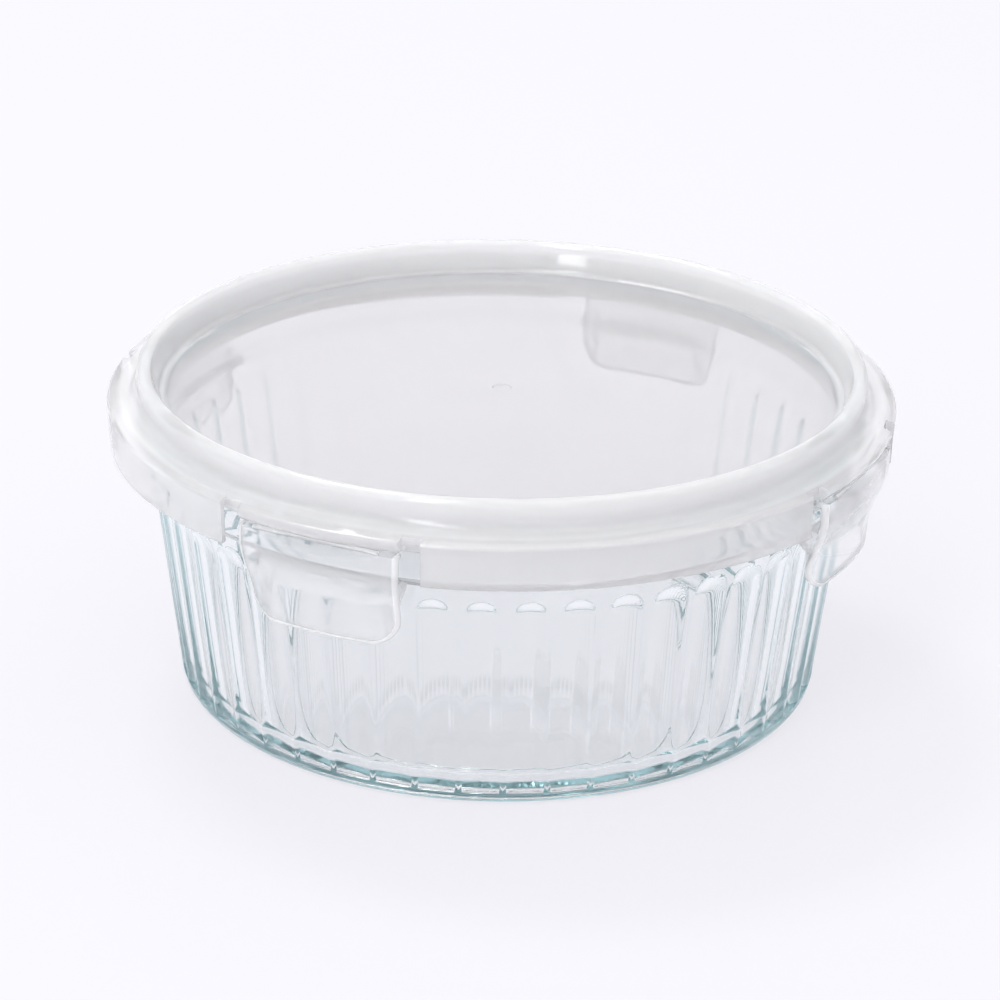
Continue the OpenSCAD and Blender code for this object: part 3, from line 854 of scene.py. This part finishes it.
def own_milk(tree):
    """How milky the moulding is at a point, from the mesh's own attribute."""
    return add(tree, "ShaderNodeAttribute", {"attribute_name": "milk"}, output="Fac")


flap_finish = polypropylene("clear_polypropylene", clear=0.87, milky=0.42, bend=1.06,
                            thick=own_milk)
hinge_finish = polypropylene("flexed_polypropylene", clear=0.50, milky=0.50, bend=1.02)
for index, side in enumerate(("front", "right", "back", "left")):
    turned = flap_mesh.copy()
    turned.name = f"{side}_flap_plate"
    turned.transform(Matrix.Rotation((index - 1) * QUARTER, 4, "Z"))
    flap_piece = new_piece(f"{side}_flap_plate", turned, flap_finish)
    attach(flap_piece, f"{side}_lock")
    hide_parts(f"{side}_flap")
    hinge_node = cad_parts[f"{side}_hinge"]
    hinge_node.data.materials.clear()
    hinge_node.data.materials.append(hinge_finish)

# Table top and light: a pale, softly reflecting floor in a wide, even studio, whose dim band of
# wall draws the edges of the glass. One soft box lights the left, and a tall one in front puts
# the bright marks on the ridge.
BACKDROP = (0.940, 0.932, 0.985, 1.0)
WHITE = (1.0, 1.0, 1.0, 1.0)
DIM_WALL = (0.14, 0.17, 0.18, 1.0)
STUDIO_WALLS = ((0.0, BACKDROP), (0.44, BACKDROP), (0.56, DIM_WALL), (0.74, DIM_WALL),
                (0.90, WHITE))
FLOOR_GLOW = 0.73
FLOOR_HALF = 3
FLOOR_DROP = 0.0002
LAMP_AIM = Vector((0.0, 0.0, 0.05))
floor_corners = [(x * FLOOR_HALF, y * FLOOR_HALF, 0)
                 for x, y in ((-1, -1), (1, -1), (1, 1), (-1, 1))]
floor_mesh = bpy.data.meshes.new("table_top")
floor_mesh.from_pydata(floor_corners, [], [(0, 1, 2, 3)])


def shows_backdrop(path):
    """1 on a ray that may show the backdrop: seen straight, or by reflection or refraction."""
    seen = path.out("Is Camera Ray") + path.out("Is Glossy Ray") + path.out("Is Transmission Ray")
    return seen.math("MINIMUM", 1.0)


floor_finish, tree = new_finish("pale_table")
place = add(tree, "ShaderNodeTexCoord", output="Object")
speck = add(tree, "ShaderNodeTexNoise", {}, {"Vector": place, "Scale": 3.0, "Detail": 2.0})
lit = add(tree, "ShaderNodeBsdfPrincipled", {}, {
    "Base Color": (0.81, 0.805, 0.84, 1.0), "Roughness": speck * 0.1 + 0.28,
    "Specular IOR Level": 0.35})
glow = add(tree, "ShaderNodeEmission", {}, {"Color": BACKDROP, "Strength": 1.0})
glow_share = shows_backdrop(add(tree, "ShaderNodeLightPath")) * FLOOR_GLOW
floor_shader = add(tree, "ShaderNodeMixShader", {}, {0: glow_share, 1: lit, 2: glow})
add(tree, "ShaderNodeOutputMaterial", {}, {"Surface": floor_shader})
table_top = new_piece("table_top", floor_mesh, floor_finish)
table_top.location.z = -FLOOR_DROP

world = bpy.data.worlds.new("studio")
bpy.context.scene.world = world
world.use_nodes = True
world.node_tree.nodes.clear()
tree = world.node_tree
path = add(tree, "ShaderNodeLightPath")
sky_light = add(tree, "ShaderNodeBackground", {},
                {"Color": (0.98, 0.98, 1.0, 1.0), "Strength": 0.92})
direction = add(tree, "ShaderNodeTexCoord")
height = add(tree, "ShaderNodeSeparateXYZ", {}, {0: direction}, output="Z")
walls = add(tree, "ShaderNodeValToRGB", {"stops": STUDIO_WALLS}, {0: height})
plain = (path.out("Is Camera Ray") + path.out("Diffuse Depth")).math("MINIMUM", 1.0)
around = mixed_colour(tree, plain, walls, BACKDROP)
sky_seen = add(tree, "ShaderNodeBackground", {}, {"Color": around, "Strength": 1.0})
sky = add(tree, "ShaderNodeMixShader", {}, {0: shows_backdrop(path), 1: sky_light, 2: sky_seen})
add(tree, "ShaderNodeOutputWorld", {}, {"Surface": sky})


def soft_box(name, place, width, height, power):
    """A rectangular lamp in metres and watts, turned to the container."""
    lamp_data = bpy.data.lights.new(name, "AREA")
    lamp_data.shape = "RECTANGLE"
    lamp_data.size = width
    lamp_data.size_y = height
    lamp_data.energy = power
    lamp = bpy.data.objects.new(name, lamp_data)
    bpy.context.scene.collection.objects.link(lamp)
    lamp.location = place
    lamp.rotation_euler = (LAMP_AIM - lamp.location).to_track_quat("-Z", "Y").to_euler()


soft_box("key_box", (-0.55, 0.35, 1.25), width=0.35, height=0.30, power=5.0)
soft_box("front_box", (0.03, -1.25, 1.20), width=0.28, height=1.50, power=9.0)

scene = bpy.context.scene
scene.view_settings.view_transform = "Standard"
scene.cycles.max_bounces = 48
scene.cycles.transmission_bounces = 48
scene.cycles.glossy_bounces = 48
scene.cycles.transparent_max_bounces = 24
